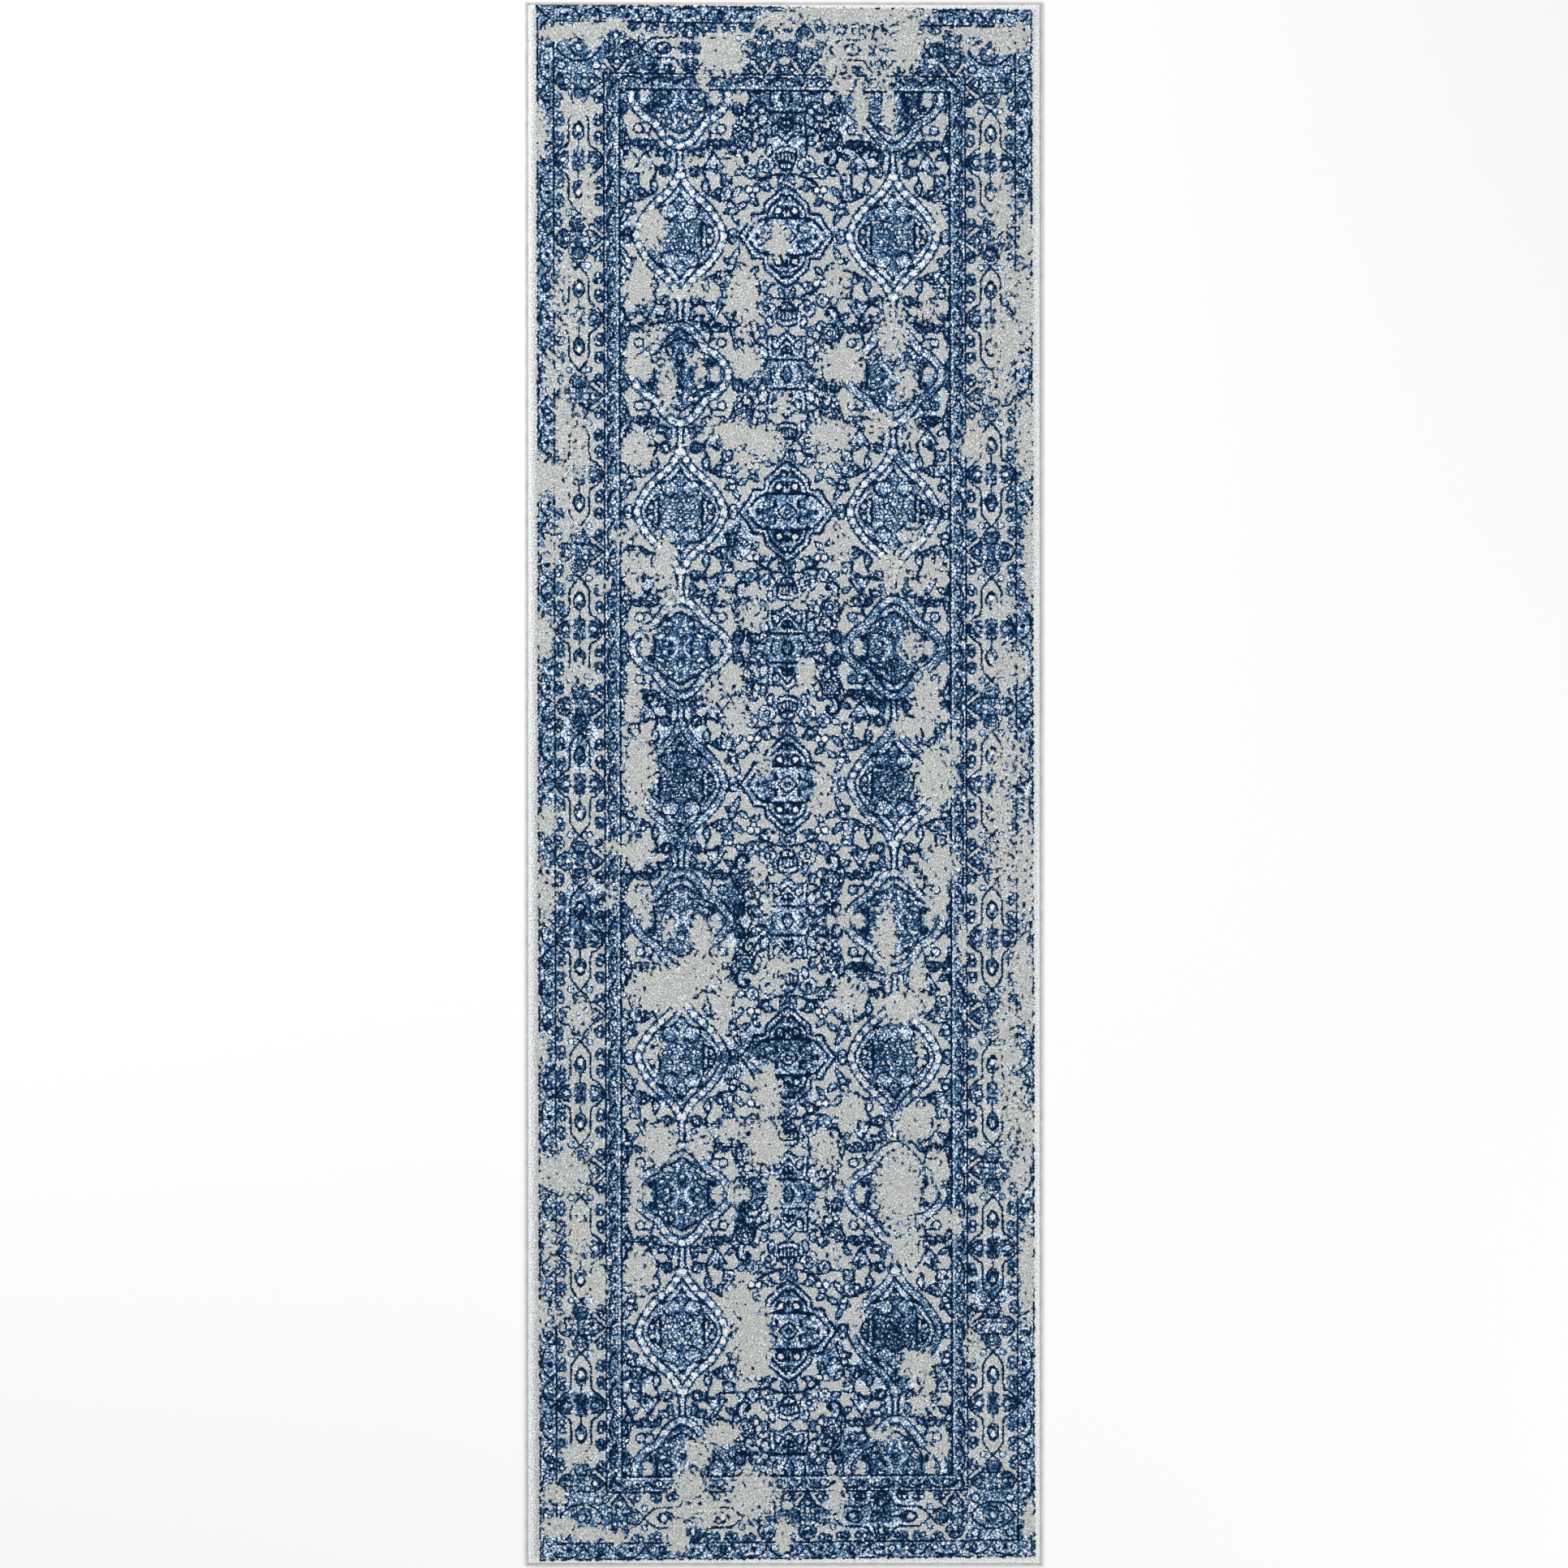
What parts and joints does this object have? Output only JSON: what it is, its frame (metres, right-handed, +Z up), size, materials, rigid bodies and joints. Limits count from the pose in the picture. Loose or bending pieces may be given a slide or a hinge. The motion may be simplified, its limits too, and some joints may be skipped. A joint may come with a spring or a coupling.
{
  "type": "runner rug",
  "caption": "Long narrow cut-pile hallway runner with a woven ground, patterned borders and overcast edges, laid flat.",
  "frame": {"origin": "middle of the underside, on the floor", "axes": "+Y along the runner's length towards its head end, +X across it to the right, +Z up out of the pile"},
  "size_m": [0.808, 2.44, 0.0104],
  "materials": {
    "patterned_pile": "matte cut pile, navy, pale blue, white and warm grey yarns",
    "grey_pile": "matte cut pile, pale warm grey yarn",
    "jute_weave": "plain ribbed weave, matte",
    "latex_coat": "thin size soaked into the back of the cloth, matte",
    "cotton_cord": "twisted cord, matte",
    "overcast_yarn": "wrapped yarn, soft sheen"
  },
  "bodies": {
    "root": {"back_coat": "latex_coat", "ground_weave": "jute_weave", "margin_pile": "grey_pile", "outer_guard_pile": "patterned_pile", "main_border_pile": "patterned_pile", "inner_guard_pile": "patterned_pile", "field_pile": "patterned_pile", "edge_cord_left": "cotton_cord", "edge_cord_right": "cotton_cord", "edge_cord_head": "cotton_cord", "edge_cord_foot": "cotton_cord", "overcast_left": "overcast_yarn", "overcast_right": "overcast_yarn", "overcast_head": "overcast_yarn", "overcast_foot": "overcast_yarn"}
  },
  "joints": []
}
